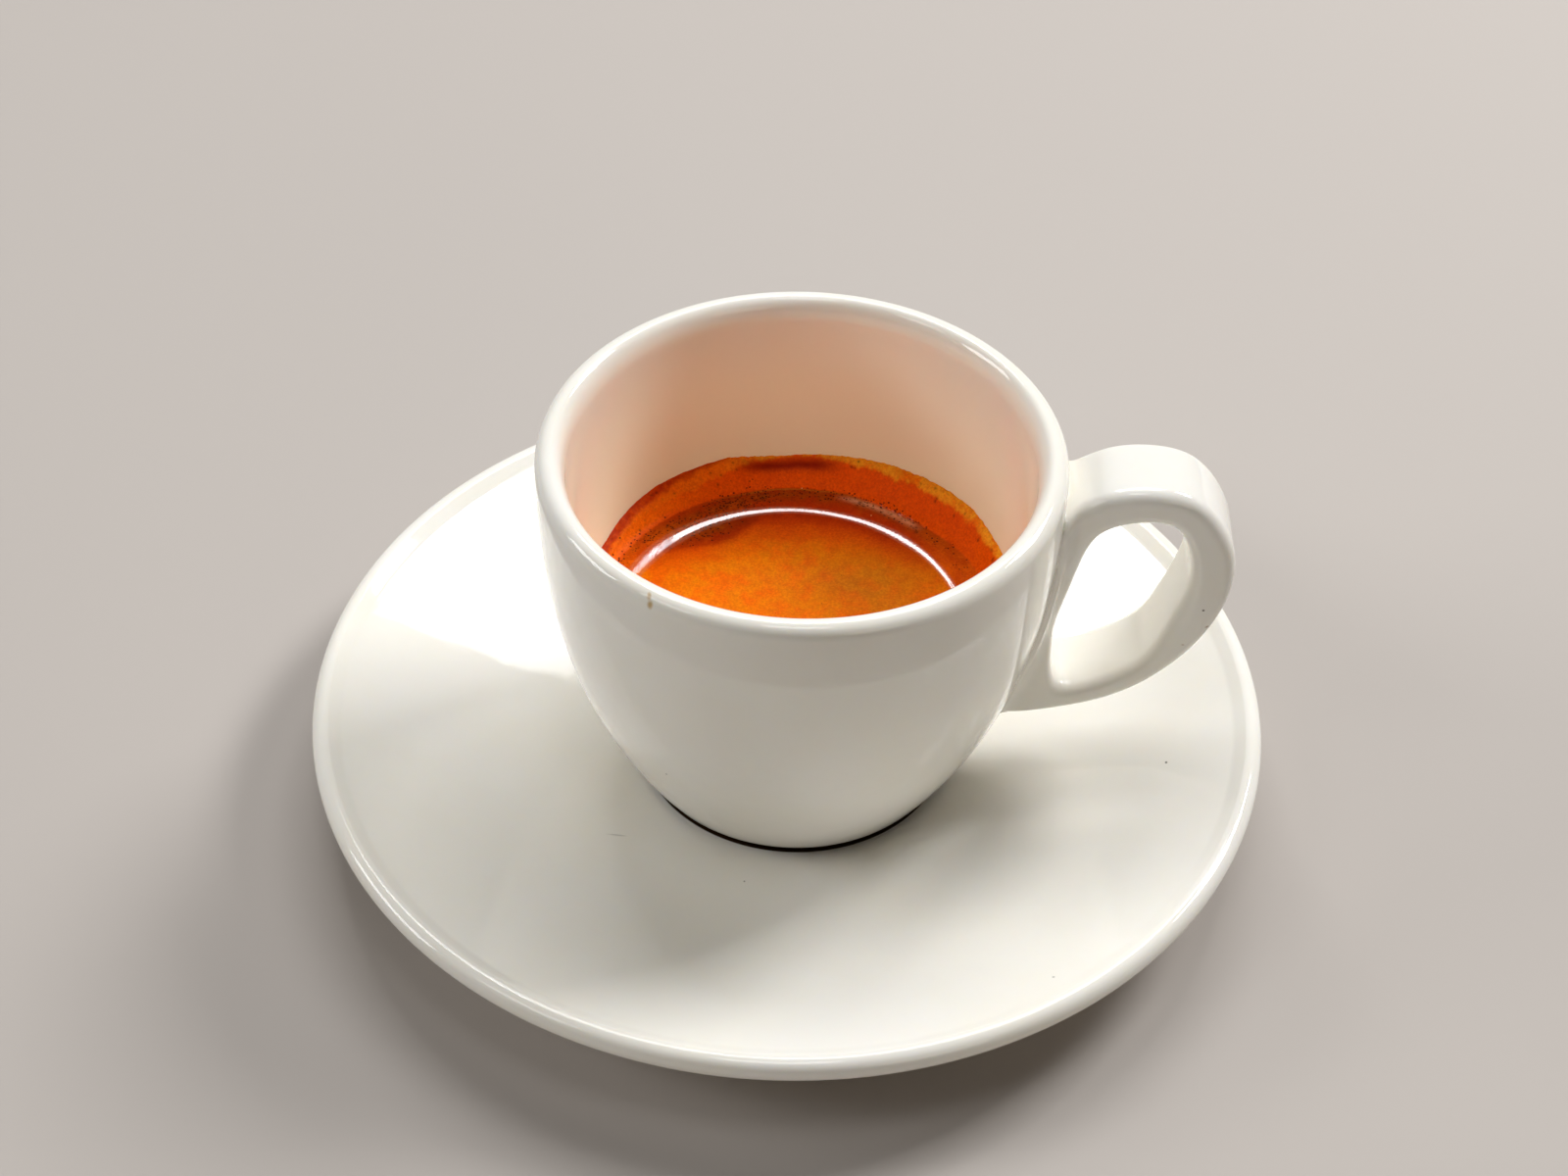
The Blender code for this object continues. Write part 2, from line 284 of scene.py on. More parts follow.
# Materials: sizes of their features in metres, ranges of roughness, and bumps as strength and depth
GLAZE_CLOUD_SIZE = 0.018
GLAZE_GRAIN_SIZE = 0.0016
GLAZE_SHINE_SIZE = 0.004
GLAZE_RIPPLE_SIZE = 0.0055
GLAZE_ROUGHNESS = (0.03, 0.05)
GLAZE_RIPPLE = (0.08, 0.0003)
GLAZE_IOR = 1.5
PORCELAIN_DEPTH = 0.0012
PORCELAIN_SPREAD = (1.0, 0.85, 0.65)
FOAM_GRAIN_SIZE = 0.00030
FOAM_CLOUD_SIZE = 0.0012
FOAM_RELIEF_SIZE = 0.00035
FOAM_ROUGHNESS = (0.30, 0.50)
FOAM_RELIEF = (0.35, 0.00025)
FOAM_IOR = 1.38
STEP_STREAKS = (0.4, 0.0001)
STEP_STREAKS_PER_MM = 3.5
STEP_IOR = 2.4
COFFEE_CLOUD_SIZE = 0.006
COFFEE_SHINE_SIZE = 0.002
COFFEE_ROUGHNESS = (0.04, 0.09)
COFFEE_IOR = 1.34

# Small marks on the glaze: place, half sizes, colour and strength
CUP_MARKS = (
    ((-0.01552, -0.02600, 0.0539), (0.00034, 0.0007, 0.0005), DRIP_TAN, 0.70),
    ((-0.01538, -0.02665, 0.0532), (0.00046, 0.0005, 0.0007), DRIP_TAN, 0.85),
    ((-0.01411, -0.02283, 0.0220), (0.00016, 0.00030, 0.00016), SPECK_DARK, 0.95),
    ((0.04983, -0.00530, 0.03491), (0.00020, 0.00040, 0.00020), SPECK_DARK, 1.0),
    ((0.05065, -0.00520, 0.03201), (0.00035, 0.00060, 0.00028), SPECK_BROWN, 0.7),
    ((0.04802, -0.00530, 0.02909), (0.00026, 0.00050, 0.00012), SPECK_BROWN, 0.6),
)
SAUCER_MARKS = (
    ((0.04786, -0.00757, 0.01072), (0.00020, 0.00026, 0.00060), SPECK_DARK, 0.9),
    ((-0.02070, -0.01829, 0.0059), (0.0016, 0.00018, 0.00060), SPECK_GREY, 0.30),
    ((-0.00460, -0.02500, 0.0057), (0.00016, 0.00020, 0.00060), SPECK_DARK, 0.6),
    ((0.03180, -0.04435, 0.01266), (0.00022, 0.00018, 0.00060), SPECK_GREY, 0.6),
)

CUP_STEPS = 256
SAUCER_STEPS = 288
HANDLE_STATIONS = 176
CREMA_STEPS = 640
# Rings of the crema: those inside this share of its reach, and the finer ones beyond it
CREMA_INNER_REACH = 0.64
CREMA_INNER_RINGS = 26
CREMA_OUTER_RINGS = 116
CURVE_SAMPLES = 2400
BLUR_SAMPLES = 9
MERGE = 0.00001

# Camera, as fitted to the photograph of 1600 x 1200. Its angles are in radians
CAMERA_AT = (0.00095, -0.25168, 0.26472)
CAMERA_DOWN = 0.747
CAMERA_TURN = 0.007
CAMERA_ROLL = 0.025
CAMERA_LENS = 64.13
CAMERA_SENSOR = 36

# Lights, on a sphere round the cup: name, bearing and height in degrees, width, depth, power, tint
LIGHT_DISTANCE = 1.2
LIGHT_AIM = (0, 0, 0.03)
WHITE_LIGHT = (1.0, 1.0, 1.0)
WARM_LIGHT = (1.0, 0.84, 0.62)
LIGHTS = (
    ("key_right", 35, 42, 0.36, 0.30, 9.8, WHITE_LIGHT),
    ("high_back", 90, 61, 0.72, 0.50, 6.0, WHITE_LIGHT),
    ("overhead", -90, 76, 0.30, 0.30, 1.1, WHITE_LIGHT),
    ("strip_right", 60, 54, 0.06, 0.30, 0.5, WHITE_LIGHT),
    ("strip_left", 120, 56, 0.06, 0.30, 0.5, WHITE_LIGHT),
    ("front_left", -150, 45, 0.36, 0.30, 1.0, WHITE_LIGHT),
    ("low_right", -60, 20, 0.50, 0.30, 0.7, WARM_LIGHT),
    ("left", 180, 25, 0.50, 0.30, 3.5, WHITE_LIGHT),
)
ROOM_LIGHT = (1.0, 0.96, 0.90)
ROOM_STRENGTH = 0.04


def linear(red, green, blue):
    """A colour given as 0 to 255 on a screen, as the linear values that shaders take."""
    values = np.array((red, green, blue)) / 255
    return tuple(np.where(values < 0.04045, values / 12.92, ((values + 0.055) / 1.055) ** 2.4))


def smooth_step(value, start, end):
    """0 below start, 1 above end, and an S curve between them."""
    share = np.clip((value - start) / (end - start), 0.0, 1.0)
    return share * share * (3 - 2 * share)


def between(value, start, full, fading, end):
    """1 from full to fading, and 0 before start and after end."""
    return smooth_step(value, start, full) * (1 - smooth_step(value, fading, end))


def bump(value, middle, spread):
    """1 at the middle and fading away on both sides."""
    return np.exp(-(((value - middle) / spread) ** 2))


def arc(centre, radius, start, end, count):
    """Points on a circle in an outline's plane, from one angle to another in degrees."""
    angles = np.radians(np.linspace(start, end, count))
    return [(centre[0] + radius * math.cos(a), centre[1] + radius * math.sin(a)) for a in angles]


def eased(before, corner, after, reach, count=6):
    """Points that round a corner of an outline, starting and ending reach away from it."""
    corner = np.array(corner)
    arms = [np.array(end) - corner for end in (before, after)]
    start, end = (corner + arm * min(1, reach / np.hypot(*arm)) for arm in arms)
    return [
        tuple((1 - t) ** 2 * start + 2 * t * (1 - t) * corner + t * t * end)
        for t in np.linspace(0, 1, count)
    ]


def mesh_object(name, points, faces):
    """A smooth shaded object made of the points and faces."""
    mesh = bpy.data.meshes.new(name)
    mesh.from_pydata(points, [], faces)
    mesh.update()
    mesh.shade_smooth()
    made = bpy.data.objects.new(name, mesh)
    bpy.context.scene.collection.objects.link(made)
    return made


def turned(name, outline, steps, offset_x=0.0):
    """A closed solid turned about a vertical axis. Its outline runs from axis to axis."""
    bearings = np.linspace(0, 2 * math.pi, steps, endpoint=False)
    rings = [point for point in outline if point[0] > MERGE]
    points = [
        (offset_x + radius * math.cos(b), radius * math.sin(b), height)
        for radius, height in rings
        for b in bearings
    ]
    first, last = len(points), len(points) + 1
    points += [(offset_x, 0.0, outline[0][1]), (offset_x, 0.0, outline[-1][1])]
    faces = []
    for i in range(steps):
        j = (i + 1) % steps
        for ring in range(len(rings) - 1):
            low, high = ring * steps, (ring + 1) * steps
            faces.append((low + i, low + j, high + j, high + i))
        top = (len(rings) - 1) * steps
        faces.append((first, j, i))
        faces.append((last, top + i, top + j))
    return mesh_object(name, points, faces)


def facing_out(piece):
    """Turns the faces of a closed mesh outwards."""
    shape = bmesh.new()
    shape.from_mesh(piece.data)
    bmesh.ops.recalc_face_normals(shape, faces=shape.faces)
    shape.to_mesh(piece.data)
    shape.free()
    piece.data.shade_smooth()


def saucer_top(radius):
    """Height of the dish: flat under the cup, then rising ever more steeply to the edge."""
    reach = SAUCER_RADIUS - 2 * SAUCER_EDGE_ROUND - SAUCER_SEAT_RADIUS
    rise = SAUCER_HEIGHT - SAUCER_EDGE_ROUND * SAUCER_EDGE_DROP - SAUCER_SEAT_HEIGHT
    share = max(radius - SAUCER_SEAT_RADIUS, 0.0) / reach
    return SAUCER_SEAT_HEIGHT + rise * share**SAUCER_DISH_POWER


def saucer_outline():
    """The saucer's outline from the middle of its top, round the edge, to the middle below."""
    flat = [(r, SAUCER_SEAT_HEIGHT) for r in np.linspace(0.0, SAUCER_SEAT_RADIUS, 8)]
    dish = np.linspace(SAUCER_SEAT_RADIUS, SAUCER_RADIUS - 2 * SAUCER_EDGE_ROUND, 60)
    edge_centre = (SAUCER_RADIUS - SAUCER_EDGE_ROUND, SAUCER_HEIGHT - SAUCER_EDGE_ROUND)
    edge = arc(edge_centre, SAUCER_EDGE_ROUND, *SAUCER_EDGE_ANGLES, 26)
    low = SAUCER_FOOT_OUTER + SAUCER_FOOT_ROUND
    under = [
        (r, saucer_top(r) - SAUCER_WALL) for r in np.linspace(SAUCER_UNDER_RADIUS, low, 24)
    ]
    outer = (SAUCER_FOOT_OUTER, 0.0)
    inner = (SAUCER_FOOT_INNER, 0.0)
    hollow = (SAUCER_FOOT_INNER - SAUCER_FOOT_ROUND, SAUCER_FOOT_HOLLOW)
    foot = eased(under[-1], outer, inner, SAUCER_FOOT_ROUND)
    foot += eased(outer, inner, hollow, SAUCER_FOOT_ROUND)
    foot += eased(inner, hollow, (0.0, SAUCER_FOOT_HOLLOW), SAUCER_FOOT_ROUND)
    top = flat + [(r, saucer_top(r)) for r in dish[1:]]
    return top + edge + under + foot + [(0.0, SAUCER_FOOT_HOLLOW)]


def cup_radius(height):
    """Outside radius of the bowl: it leaves the foot steeply and is almost upright below the lip."""
    share = np.clip((height - CUP_BASE) / (CUP_LIP_CENTRE - CUP_BASE), 0.0, 1.0)
    bulge = 1 - (1 - share) ** CUP_BOWL_POWER
    return CUP_FOOT_RADIUS + (CUP_RIM_RADIUS - CUP_FOOT_RADIUS) * bulge


def cavity_radius(height):
    """Inside radius: a bowl with a round bottom and nearly upright walls."""
    share = np.clip((height - CUP_FLOOR) / (CUP_LIP_CENTRE - CUP_FLOOR), 0.0, 1.0)
    bulge = 1 - (1 - share) ** CUP_INNER_POWER
    return (CUP_RIM_RADIUS - 2 * CUP_LIP_ROUND) * bulge ** (1 / CUP_INNER_ROOT)


def cup_outline():
    """The bowl's outline from under its foot, up the outside and over the lip, to its floor."""
    under = CUP_BASE + CUP_FOOT_HOLLOW
    hollow = (CUP_FOOT_INNER - CUP_FOOT_HOLLOW, under)
    inner = (CUP_FOOT_INNER, CUP_BASE)
    outer = (float(cup_radius(CUP_BASE)), CUP_BASE)
    rising = (float(cup_radius(CUP_BASE + CUP_FOOT_ROUND)), CUP_BASE + CUP_FOOT_ROUND)
    foot = [(0.0, under)]
    foot += eased((0.0, under), hollow, inner, CUP_FOOT_ROUND)
    foot += eased(hollow, inner, outer, CUP_FOOT_ROUND)
    foot += eased(inner, outer, rising, CUP_FOOT_ROUND)
    heights = np.linspace(CUP_BASE + CUP_FOOT_ROUND, CUP_LIP_CENTRE, 72)[1:]
    outside = [(float(cup_radius(z)), z) for z in heights]
    lip_centre = (CUP_RIM_RADIUS - CUP_LIP_ROUND, CUP_LIP_CENTRE)
    lip = arc(lip_centre, CUP_LIP_ROUND, 0, 90, 15)[1:]
    top = CUP_LIP_CENTRE + CUP_LIP_ROUND
    below = top - CUP_LIP_INNER_DEPTH
    reach = lip_centre[0] - float(cavity_radius(below))
    for turn in np.radians(np.linspace(90, 180, 22))[1:]:
        height = below + CUP_LIP_INNER_DEPTH * math.sin(turn)
        lip.append((lip_centre[0] + reach * math.cos(turn), height))
    depths = CUP_FLOOR + (below - CUP_FLOOR) * np.linspace(0, 1, 70) ** CUP_INNER_CROWDING
    inside = [(float(cavity_radius(z)), z) for z in depths[-2:0:-1]]
    return foot + outside + lip + inside + [(0.0, CUP_FLOOR)]


def closed_curve(points, count):
    """A smooth closed curve through the points (Catmull-Rom)."""
    knots = np.array(points)
    before, after, beyond = (np.roll(knots, shift, axis=0) for shift in (1, -1, -2))
    samples = []
    for t in np.linspace(0, 1, count // len(knots), endpoint=False):
        samples.append(
            0.5 * (
                2 * knots + (after - before) * t
                + (2 * before - 5 * knots + 4 * after - beyond) * t**2
                + (3 * knots - before - 3 * after + beyond) * t**3
            )
        )
    return np.stack(samples, axis=1).reshape(-1, 2)


def reach_from_centre(points, angles):
    """How far the closed curve through the points lies from the handle's centre at each angle."""
    curve = closed_curve(points, CURVE_SAMPLES) - np.array(HANDLE_CENTRE)
    bearing = np.arctan2(curve[:, 1], curve[:, 0])
    order = np.argsort(bearing)
    return np.interp(angles, bearing[order], np.hypot(*curve[order].T), period=2 * math.pi)


def handle_section(half_depth, corner_points=9, side_points=7):
    """A rectangle with rounded corners, as (outwards, sideways) offsets from its middle."""
    radius = min(HANDLE_EDGE_ROUND, HANDLE_EDGE_SHARE * half_depth)
    corners = []
    for quarter in range(4):
        turn = math.radians(90 * quarter + 45)
        centre = (
            math.copysign(half_depth - radius, math.cos(turn)),
            math.copysign(HANDLE_HALF_WIDTH - radius, math.sin(turn)),
        )
        corners.append(arc(centre, radius, 90 * quarter, 90 * quarter + 90, corner_points))
    section = []
    for quarter, corner in enumerate(corners):
        following = corners[(quarter + 1) % 4][0]
        section += corner
        for share in np.linspace(0, 1, side_points)[1:-1]:
            section.append(tuple(np.array(corner[-1]) * (1 - share) + np.array(following) * share))
    return section


def fillet(clear):
    """How far a wall of the handle spreads where it stands clear of the bowl by that much."""
    gone = np.clip(HANDLE_FILLET - clear, 0.0, HANDLE_FILLET * HANDLE_FILLET_END)
    return HANDLE_FILLET - math.sqrt(HANDLE_FILLET**2 - gone**2)


def handle_form():
    """The ear as a closed ring of rounded sections. Its cup side is buried in the wall."""
    root = [(float(cup_radius(z)) - HANDLE_ROOT_DEPTH, z) for z in HANDLE_ROOT_HEIGHTS]
    angles = np.linspace(-math.pi, math.pi, HANDLE_STATIONS, endpoint=False)
    outer = reach_from_centre(list(HANDLE_OUTER) + root, angles)
    inner = reach_from_centre(HANDLE_HOLE, angles)
    points = []
    for angle, near, far in zip(angles, inner, outer):
        section = handle_section((far - near) / 2)
        for out, side in section:
            reach = (near + far) / 2 + out
            x = HANDLE_CENTRE[0] + reach * math.cos(angle)
            height = HANDLE_CENTRE[1] + reach * math.sin(angle)
            spread = fillet(x - cup_radius(height)) * abs(side) / HANDLE_HALF_WIDTH
            points.append((CUP_OFFSET_X + x, side + math.copysign(spread, side), height))
    count = len(section)
    faces = []
    for station in range(HANDLE_STATIONS):
        this, following = station * count, (station + 1) % HANDLE_STATIONS * count
        for i in range(count):
            j = (i + 1) % count
            faces.append((this + i, this + j, following + j, following + i))
    made = mesh_object("handle_form", points, faces)
    facing_out(made)
    return made


def cup_piece():
    """The bowl and its handle as one closed mesh."""
    cup = turned("cup_body", cup_outline(), CUP_STEPS, CUP_OFFSET_X)
    facing_out(cup)
    handle = handle_form()
    joined = cup.modifiers.new("handle", "BOOLEAN")
    joined.operation = "UNION"
    joined.solver = "EXACT"
    joined.object = handle
    depsgraph = bpy.context.evaluated_depsgraph_get()
    settled = bpy.data.meshes.new_from_object(cup.evaluated_get(depsgraph))
    cup.modifiers.clear()
    cup.data = settled
    bpy.data.objects.remove(handle)
    cup.data.shade_smooth()
    return cup


def field(points, size, seed, detail=3):
    """Smooth noise from -1 to 1 at each point, with features of about the given size."""
    shift = Vector((seed * 7.31, seed * 3.17, seed * 5.53))
    return np.array([
        noise.fractal(Vector(p) / size + shift, 1.0, 2.0, detail) for p in points
    ])


def crema_grid():
    """Polar grid: bearings, and shares of the reach that lie close together where detail is."""
    bearings = np.linspace(-math.pi / 2, 1.5 * math.pi, CREMA_STEPS, endpoint=False)
    inner = np.linspace(0, CREMA_INNER_REACH, CREMA_INNER_RINGS + 1)[1:]
    outer = np.linspace(CREMA_INNER_REACH, 1.0, CREMA_OUTER_RINGS + 1)[1:]
    return bearings, np.concatenate((inner, outer))


def along(marks, degrees, blur=9):
    """A value read off its marks by bearing, smoothed over some degrees."""
    places = [mark for mark, _ in marks]
    values = [value for _, value in marks]
    offsets = np.linspace(-blur, blur, BLUR_SAMPLES)
    weights = np.hanning(BLUR_SAMPLES + 2)[1:-1]
    broad = [np.interp(degrees + o, places, values, period=360) for o in offsets]
    return np.average(broad, axis=0, weights=weights)


def crema_fields():
    """Everything that the crema's shape and colour are made of, on its polar grid."""
    bearings, shares = crema_grid()
    turn = np.degrees(bearings)
    round_wall = 1000 * BANK_WOBBLE_RADIUS
    circle = [(round_wall * math.cos(b), round_wall * math.sin(b), 0) for b in bearings]
    wobble = field(circle, BANK_WOBBLE_SIZE, 1)
    edge = along(BANK_EDGE, turn, 6) + BANK_WOBBLE * wobble
    wall = cavity_radius(edge) + CREMA_INTO_WALL
    f = {"edge": edge[None, :], "wall": wall[None, :]}
    f["radius"] = shares[:, None] * f["wall"]
    f["bearing"] = np.broadcast_to(bearings, f["radius"].shape)
    f["degrees"] = np.degrees(f["bearing"])
    f["x"] = f["radius"] * np.cos(f["bearing"])
    f["y"] = f["radius"] * np.sin(f["bearing"])
    f["out"] = np.hypot(f["x"] - POOL_CENTRE[0], f["y"] - POOL_CENTRE[1]) - POOL_RADIUS
    flat = [(1000 * a, 1000 * b, 0) for a, b in zip(f["x"].ravel(), f["y"].ravel())]
    for name, size, seed, detail in CREMA_NOISE:
        f[name] = field(flat, size, seed, detail).reshape(f["radius"].shape)
    foot = along(BANK_FOOT, turn)[None, :]
    f["past_foot"] = f["radius"] - foot
    f["bank"] = np.clip(f["past_foot"] / (f["wall"] - foot), 0, 1)
    f["step_width"] = along(STEP_WIDTHS, turn)[None, :]
    f["tongue_reach"] = along(TONGUE_REACH, turn, 4)[None, :]
    f["past_froth"] = f["bank"] - along(FROTH_FROM, turn)[None, :]
    f["past_dark_edge"] = f["bank"] - along(DARK_EDGE_FROM, turn, 4)[None, :]
    f["off_belt"] = f["radius"] - along(BUBBLE_BELT, turn)[None, :]
    return f


def dark_edge_share(f):
    """The smooth dark edge along the top of the bank, on its left."""
    uneven = f["past_dark_edge"] + 0.10 * f["middling"] + 0.05 * f["lumps"]
    return smooth_step(uneven, *DARK_EDGE_FADE)


def froth_share(f):
    """Where the bank is lumpy froth: a belt below its edge, with a ragged inner border."""
    uneven = f["past_froth"] + 0.07 * f["middling"] + 0.05 * f["lumps"]
    inside = smooth_step(uneven, *FROTH_FADE)
    return inside * (1 - 0.7 * dark_edge_share(f))


def fold_share(f):
    """A smooth fold in the bank's far side, whose hollow is painted dark as shade, and the smooth dark
    edge on its left.
    """
    across = bump(f["bank"], FOLD_PLACE + 0.04 * f["slow"], FOLD_SPREAD)
    far = between(f["degrees"], *FOLD_STRETCH) * across
    return np.clip(far + dark_edge_share(f), 0, 1)


def pit_share(f):
    """1 in the middle of each open bubble, from scattered places in the dark band and the froth."""
    draw = np.random.default_rng(PIT_SEED)
    deep = np.zeros(f["radius"].shape)
    for count, low, high, start, end, size in PIT_BELTS:
        for _ in range(count):
            turn = math.radians(draw.uniform(start, end))
            reach = draw.uniform(low, high)
            across = size * draw.uniform(*PIT_SIZES)
            column = int((turn + math.pi / 2) / (2 * math.pi) * CREMA_STEPS) % CREMA_STEPS
            columns = np.arange(column - PIT_COLUMNS, column + PIT_COLUMNS + 1) % CREMA_STEPS
            px, py = reach * math.cos(turn), reach * math.sin(turn)
            x, y = f["x"][:, columns], f["y"][:, columns]
            hole = np.exp(-((x - px) ** 2 + (y - py) ** 2) / across**2)
            deep[:, columns] = np.maximum(deep[:, columns], hole)
    return deep * smooth_step(np.abs(f["out"]), *PIT_CLEAR_OF_STEP)


def crema_height(f):
    """Height of the foam: the pool, its step, the band, the bank and the fine relief on them."""
    ends = smooth_step(np.abs(f["degrees"] - 90), *STEP_END_FADE)
    slope = STEP_SLOPE + (STEP_END_SLOPE - STEP_SLOPE) * ends
    rise = f["step_width"] * slope / 1.5
    half = f["step_width"] / 2
    step = rise * smooth_step(f["out"] / half, -1, 1)
    climb = f["edge"] - CREMA_LEVEL - rise
    bank = climb * smooth_step(f["bank"], 0.0, 1.0)
    froth = f["froth"] * (1 - smooth_step(f["bank"], 0.95, 1.0))
    band = smooth_step(f["out"], *BAND_LUMPS_FADE) * (1 - smooth_step(f["bank"], 0.0, 0.2))
    calm = 1 - bump(f["out"] / half, 0, 1.2)
    return (
        CREMA_LEVEL + step + bank + POOL_SWELL * f["slow"] * calm
        + FROTH_LUMPS * froth * (f["lumps"] + 0.6 * f["middling"]) + BAND_LUMPS * band * f["lumps"]
        + BANK_SWELL * smooth_step(f["bank"], 0.1, 0.4) * f["slow"]
        - FOLD_DEPTH * f["fold"] * (1 - smooth_step(f["bank"], 0.88, 1.0)) - PIT_DEPTH * f["pits"]
    )


def layered(colour, over, share):
    """A colour, given as 0 to 255, laid over linear ones."""
    return colour + (np.array(linear(*over)) - colour) * np.clip(share, 0, 1)[..., None]


def tongue_share(f):
    """A dark tongue that reaches from the step into the pool, on the left of the far side."""
    reach = f["tongue_reach"] + 0.0003 * f["middling"]
    inside = smooth_step(f["out"] + reach, *TONGUE_FADE)
    inside = inside * smooth_step(f["tongue_reach"], 0.0, TONGUE_FADE[1])
    return inside * (1 - smooth_step(f["out"], *TONGUE_STOP_FADE))


def highlight_patch_share(f):
    """A bubbly patch in the band, on the right of the far side, where a pale pink highlight is painted.
    """
    across = bump(f["off_belt"] + 0.0001 * f["lumps"], 0.0, PATCH_HALF)
    return between(f["degrees"], *PATCH_STRETCH) * across


def belt_share(f):
    """Where the fine dark bubbles lie close together."""
    width = BUBBLES_HALF + BUBBLES_EXTRA * bump(f["degrees"], *BELT_WIDE_AT)
    close = bump(f["off_belt"] + 0.0003 * f["middling"], 0, 1.3 * width)
    close = close * (0.30 + 0.70 * bump(f["degrees"], *BELT_CLOSE_AT))
    beside = 0.9 * bump(f["off_belt"], *BESIDE_BELT) * bump(f["degrees"], *BELT_BESIDE_AT)
    return np.clip(close + beside, 0, 1)


def pool_layers(f):
    """Colours of the flat middle, each with the share that it covers."""
    degrees, out = f["degrees"], f["out"]
    far = between(degrees, *DEEP_STRETCH)
    deep = smooth_step(out + 0.0010 * f["slow"], *DEEP_FADE)
    sideways = ((f["x"] - CLOUD_AT[0]) / CLOUD_SPREAD[0]) ** 2
    away = ((f["y"] - CLOUD_AT[1]) / CLOUD_SPREAD[1]) ** 2
    cloud = np.exp(-sideways - away)
    tongue = tongue_share(f)
    olive = tongue * bump(out, *TONGUE_OLIVE_IN) * bump(degrees, *TONGUE_OLIVE_AT)
    return [
        (POOL_GOLD, 0.45 + 0.9 * f["middling"]),
        (DEEP_ORANGE, deep * (0.25 + 0.75 * far)),
        (DEEP_RED, far * smooth_step(out + 0.0004 * f["slow"], *RED_FADE)),
        (OLIVE_GOLD, 0.85 * cloud * (1 + 0.5 * f["middling"])),
        (TONGUE, 0.95 * tongue),
        (TONGUE_OLIVE, olive * (0.9 + 0.5 * f["middling"])),
    ]


def near_sides(f):
    """1 on the left and right of the crema and 0 on its far side."""
    return smooth_step(np.abs(f["degrees"] - SIDES_FROM), *SIDES_FADE)


def band_layers(f):
    """Colours of the band between the step and the bank."""
    band = smooth_step(f["out"], *BAND_FADE)
    belt = bump(f["off_belt"] + 0.0003 * f["middling"], 0, BELT_HALF)
    return [
        (BAND_RED, band),
        (BAND_DARK, band * belt * (0.85 + 0.4 * f["middling"])),
        (BAND_WARM, band * near_sides(f) * (0.80 + 0.5 * f["middling"])),
        # Painted highlight: the pale pink patch in the band
        (PATCH_PAINTED_HIGHLIGHT, f["patch"]),
    ]


def bank_layers(f):
    """Colours of the bank, with its froth, its fold and its edge."""
    degrees, bank = f["degrees"], f["bank"]
    ring = smooth_step(bank + 0.03 * f["middling"], *RING_FADE)
    streaks = bump(bank + 0.06 * f["slow"] + 0.05 * f["middling"], *RING_STREAKS)
    line = bump(f["past_foot"] + 0.00018 * f["middling"], 0, TAN_LINE_HALF)
    line = line * bump(degrees, *TAN_LINE_AT)
    # The froth is gold on its lumps and brown in its hollows: its own mottling, and partly painted
    # light on the lumps and painted shade in the hollows
    gold = f["froth"] * (0.80 + 0.35 * f["lumps"])
    shaded_hollows = smooth_step(-f["middling"] - 0.6 * f["lumps"], 0.0, 0.9)
    left = smooth_step(degrees, *LEFT_FADE)
    rim = smooth_step(bank, *RIM_FADE) * (1 - smooth_step(degrees, *RIM_STOP_FADE))
    return [
        (RING_RED, ring * (1 - 0.35 * near_sides(f))),
        (RING_ORANGE, 1.2 * between(degrees, *WARM_STRETCH) * streaks),
        (TAN_LINE, 0.85 * line),
        (FROTH_GOLD, gold * (1 - left)),
        (FROTH_LEFT, gold * left),
        (FROTH_BROWN_AND_SHADE, f["froth"] * 0.8 * shaded_hollows),
        # Painted shade in the fold's hollow
        (FOLD_PAINTED_SHADE, 0.95 * f["fold"] * (1 - left)),
        (EDGE_RED, (0.80 - 0.4 * f["lumps"]) * f["fold"] * left),
        (FROTH_GOLD, 0.7 * rim),
    ]


def crema_colour(f):
    """The broad colours of the foam, laid over each other from the pool out to the wall."""
    colour = np.ones((*f["radius"].shape, 3)) * np.array(linear(*POOL_ORANGE))
    for tone, share in pool_layers(f) + band_layers(f) + bank_layers(f):
        colour = layered(colour, tone, share)
    return np.clip(colour, 0, 1)


def foam_shares(f):
    """The numbers that the foam's material reads from the mesh, apart from the colour."""
    on_step = 1 - smooth_step(np.abs(f["out"] / f["step_width"]), *WET_FADE)
    tongue = tongue_share(f) * bump(f["out"], *TONGUE_BUBBLES_IN)
    tongue = tongue * bump(f["degrees"], *TONGUE_BUBBLES_AT)
    left_end = smooth_step(f["degrees"], *LEFT_END_FADE)
    return {
        "dry": np.clip(smooth_step(f["out"], *DRY_FADE) * 0.5 + 0.5 * f["froth"], 0, 1),
        "bubbly": np.clip(belt_share(f) + 0.6 * tongue, 0, 1),
        "wet": np.clip(on_step + 0.30 * f["patch"], 0, 1),
        "sparkle": bump(f["bank"], *GLINT_PLACE) * bump(f["degrees"], *SPARKLE_AT),
        "hatch": 0.15 + 0.85 * left_end + 0.40 * bump(f["degrees"], *HATCH_AT),
        "pits": f["pits"],
        "around": f["radius"] * f["bearing"] * 1000,
        "outwards": f["out"] * 1000,
    }


